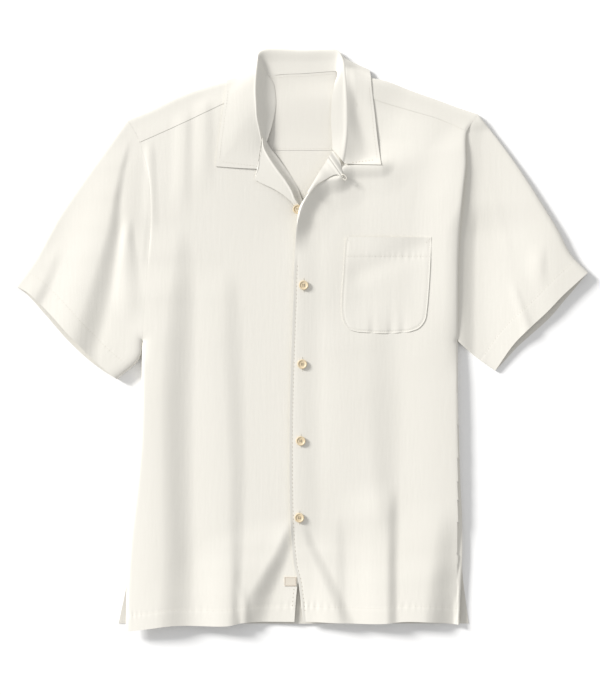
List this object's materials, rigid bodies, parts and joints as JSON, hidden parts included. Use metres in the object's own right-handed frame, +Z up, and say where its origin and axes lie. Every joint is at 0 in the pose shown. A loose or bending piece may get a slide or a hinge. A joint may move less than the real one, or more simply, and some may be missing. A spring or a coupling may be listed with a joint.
{
  "type": "hawaiian shirt",
  "caption": "Short-sleeved camp shirt of plain off-white cloth, laid flat face up, with an open notched collar, buttoned front, chest patch pocket and side vents.",
  "frame": {"origin": "centre of the laid shirt's outline, on the surface it lies on", "axes": "+X towards the wearer's left, +Y from the hem to the collar, +Z up from the surface"},
  "size_m": [0.8009, 0.8146, 0.022],
  "materials": {
    "cloth": "plain off-white woven cloth with a soft silky sheen",
    "button": "tan horn-like button, satin, with a lighter rim",
    "thread": "off-white corded thread",
    "tab": "blank woven tab in pale tan"
  },
  "bodies": {
    "root": {"back": "cloth", "yoke": "cloth", "front_right": "cloth", "front_left": "cloth", "sleeve_right": "cloth", "sleeve_left": "cloth", "collar": "cloth", "lapel_right": "cloth", "lapel_left": "cloth", "pocket": "cloth", "button_1": "button", "button_2": "button", "button_3": "button", "button_4": "button", "button_5": "button", "loop": "thread", "label": "tab"}
  },
  "joints": []
}
